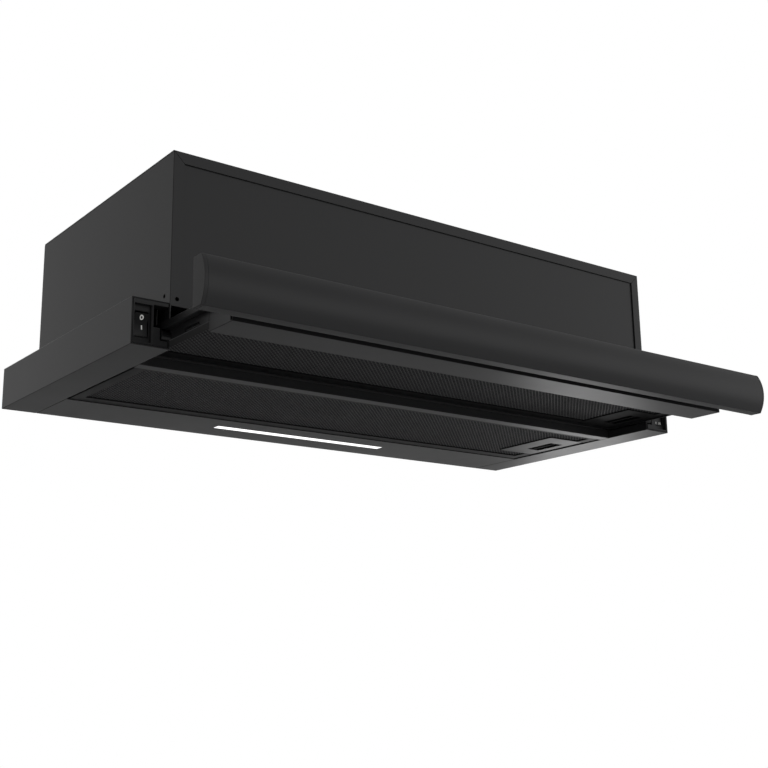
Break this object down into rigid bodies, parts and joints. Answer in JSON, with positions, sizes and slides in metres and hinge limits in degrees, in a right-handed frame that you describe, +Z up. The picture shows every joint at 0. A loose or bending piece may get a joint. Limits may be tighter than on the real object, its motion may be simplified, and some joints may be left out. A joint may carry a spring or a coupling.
{
  "type": "pull-out range hood",
  "caption": "Slide-out cooker hood: flat canopy with a chimney box, pull-out drawer with a rounded front panel, mesh grease filters, lamp, rocker switches, fan and round outlet.",
  "frame": {"origin": "middle of the footprint, on the plane of the flat underside", "axes": "+X to the right seen from the front, +Y to the wall, +Z up"},
  "size_m": [0.6, 0.376, 0.1973],
  "materials": {
    "steel_coat": "satin black powder coat",
    "panel_coat": "satin black lacquer on an extrusion",
    "black_plastic": "fine matt black moulding",
    "switch_plastic": "smooth black moulding with white marks",
    "rail_steel": "black coated steel",
    "screw_steel": "zinc plated",
    "filter_coat": "black coated aluminium",
    "mesh_coat": "black coated expanded metal",
    "lens": "opal diffuser, lit",
    "lamp_shell": "light grey moulding",
    "scroll_plastic": "dark grey moulding",
    "wheel_plastic": "black moulding",
    "motor_steel": "galvanised shell",
    "collar_plastic": "black moulding",
    "capacitor_shell": "off-white can"
  },
  "bodies": {
    "housing": {"canopy_side_left": "steel_coat", "canopy_side_right": "steel_coat", "canopy_rear": "steel_coat", "crossbar": "steel_coat", "box_side_left": "steel_coat", "box_side_right": "steel_coat", "box_top": "steel_coat", "box_front": "steel_coat", "box_back": "steel_coat", "fascia_left": "black_plastic", "fascia_right": "black_plastic", "switch_body_left": "switch_plastic", "switch_body_right": "switch_plastic", "rail_carrier_left": "rail_steel", "rail_carrier_right": "rail_steel", "fixed_rail_left": "rail_steel", "fixed_rail_right": "rail_steel", "guide_shoe_left": "black_plastic", "guide_shoe_right": "black_plastic", "guide_screw_left": "screw_steel", "guide_screw_right": "screw_steel", "lamp_lens": "lens", "lamp_housing": "lamp_shell", "lamp_driver": "lamp_shell", "fan_scroll": "scroll_plastic", "motor": "motor_steel", "motor_bracket": "screw_steel", "outlet_collar": "collar_plastic", "flap_rod": "screw_steel", "terminal_box": "black_plastic", "cord_gland": "black_plastic", "capacitor": "capacitor_shell"},
    "drawer": {"front_panel": "panel_coat", "end_cap_left": "black_plastic", "end_cap_right": "black_plastic", "panel_screw_1": "screw_steel", "panel_screw_2": "screw_steel", "panel_screw_3": "screw_steel", "panel_screw_4": "screw_steel", "drawer_channel": "steel_coat", "drawer_side_left": "steel_coat", "drawer_side_right": "steel_coat", "drawer_rear_bar": "steel_coat", "drawer_rail_left": "rail_steel", "drawer_rail_right": "rail_steel"},
    "drawer_filter": {"drawer_filter_frame": "filter_coat", "drawer_filter_mesh": "mesh_coat", "drawer_filter_latch_plate": "black_plastic"},
    "drawer_latch": {"drawer_filter_latch": "black_plastic"},
    "rear_filter": {"rear_filter_frame": "filter_coat", "rear_filter_mesh": "mesh_coat", "rear_filter_latch_plate": "black_plastic"},
    "rear_latch": {"rear_filter_latch": "black_plastic"},
    "lamp_rocker": {"rocker_left": "switch_plastic"},
    "speed_rocker": {"rocker_right": "switch_plastic"},
    "fan": {"fan_wheel": "wheel_plastic", "motor_shaft": "screw_steel"},
    "front_flap": {"flap_front": "collar_plastic"},
    "back_flap": {"flap_rear": "collar_plastic"}
  },
  "joints": [
    {"name": "drawer_slide", "type": "slide", "parent": "housing", "child": "drawer", "axis": [0, -1, 0], "range_m": [-0.0985, 0]},
    {"name": "drawer_filter_hinge", "type": "hinge", "parent": "drawer", "child": "drawer_filter", "pos_m": [-0.2635, -0.075, 0.0102], "axis": [0, 1, 0], "range_deg": [0, 30]},
    {"name": "drawer_latch_slide", "type": "slide", "parent": "drawer_filter", "child": "drawer_latch", "axis": [-1, 0, 0], "range_m": [0, 0.006], "stiffness_N_per_m": 300, "springref_m": -0.004},
    {"name": "rear_filter_hinge", "type": "hinge", "parent": "housing", "child": "rear_filter", "pos_m": [-0.2655, 0.055, 0.0037], "axis": [0, 1, 0], "range_deg": [0, 30]},
    {"name": "rear_latch_slide", "type": "slide", "parent": "rear_filter", "child": "rear_latch", "axis": [-1, 0, 0], "range_m": [0, 0.006], "stiffness_N_per_m": 300, "springref_m": -0.004},
    {"name": "lamp_rocker_pivot", "type": "hinge", "parent": "housing", "child": "lamp_rocker", "pos_m": [-0.2875, -0.063, 0.0175], "axis": [1, 0, 0], "range_deg": [-14, 0]},
    {"name": "speed_rocker_pivot", "type": "hinge", "parent": "housing", "child": "speed_rocker", "pos_m": [0.2875, -0.063, 0.0175], "axis": [1, 0, 0], "range_deg": [-14, 0]},
    {"name": "fan_spin", "type": "hinge", "parent": "housing", "child": "fan", "pos_m": [0, 0.023, 0.094], "axis": [1, 0, 0], "continuous": true},
    {"name": "front_flap_hinge", "type": "hinge", "parent": "housing", "child": "front_flap", "pos_m": [0, 0.06506, 0.18], "axis": [-1, 0, 0], "range_deg": [0, 70]},
    {"name": "back_flap_hinge", "type": "hinge", "parent": "housing", "child": "back_flap", "pos_m": [0, 0.06506, 0.18], "axis": [1, 0, 0], "range_deg": [0, 70]}
  ]
}
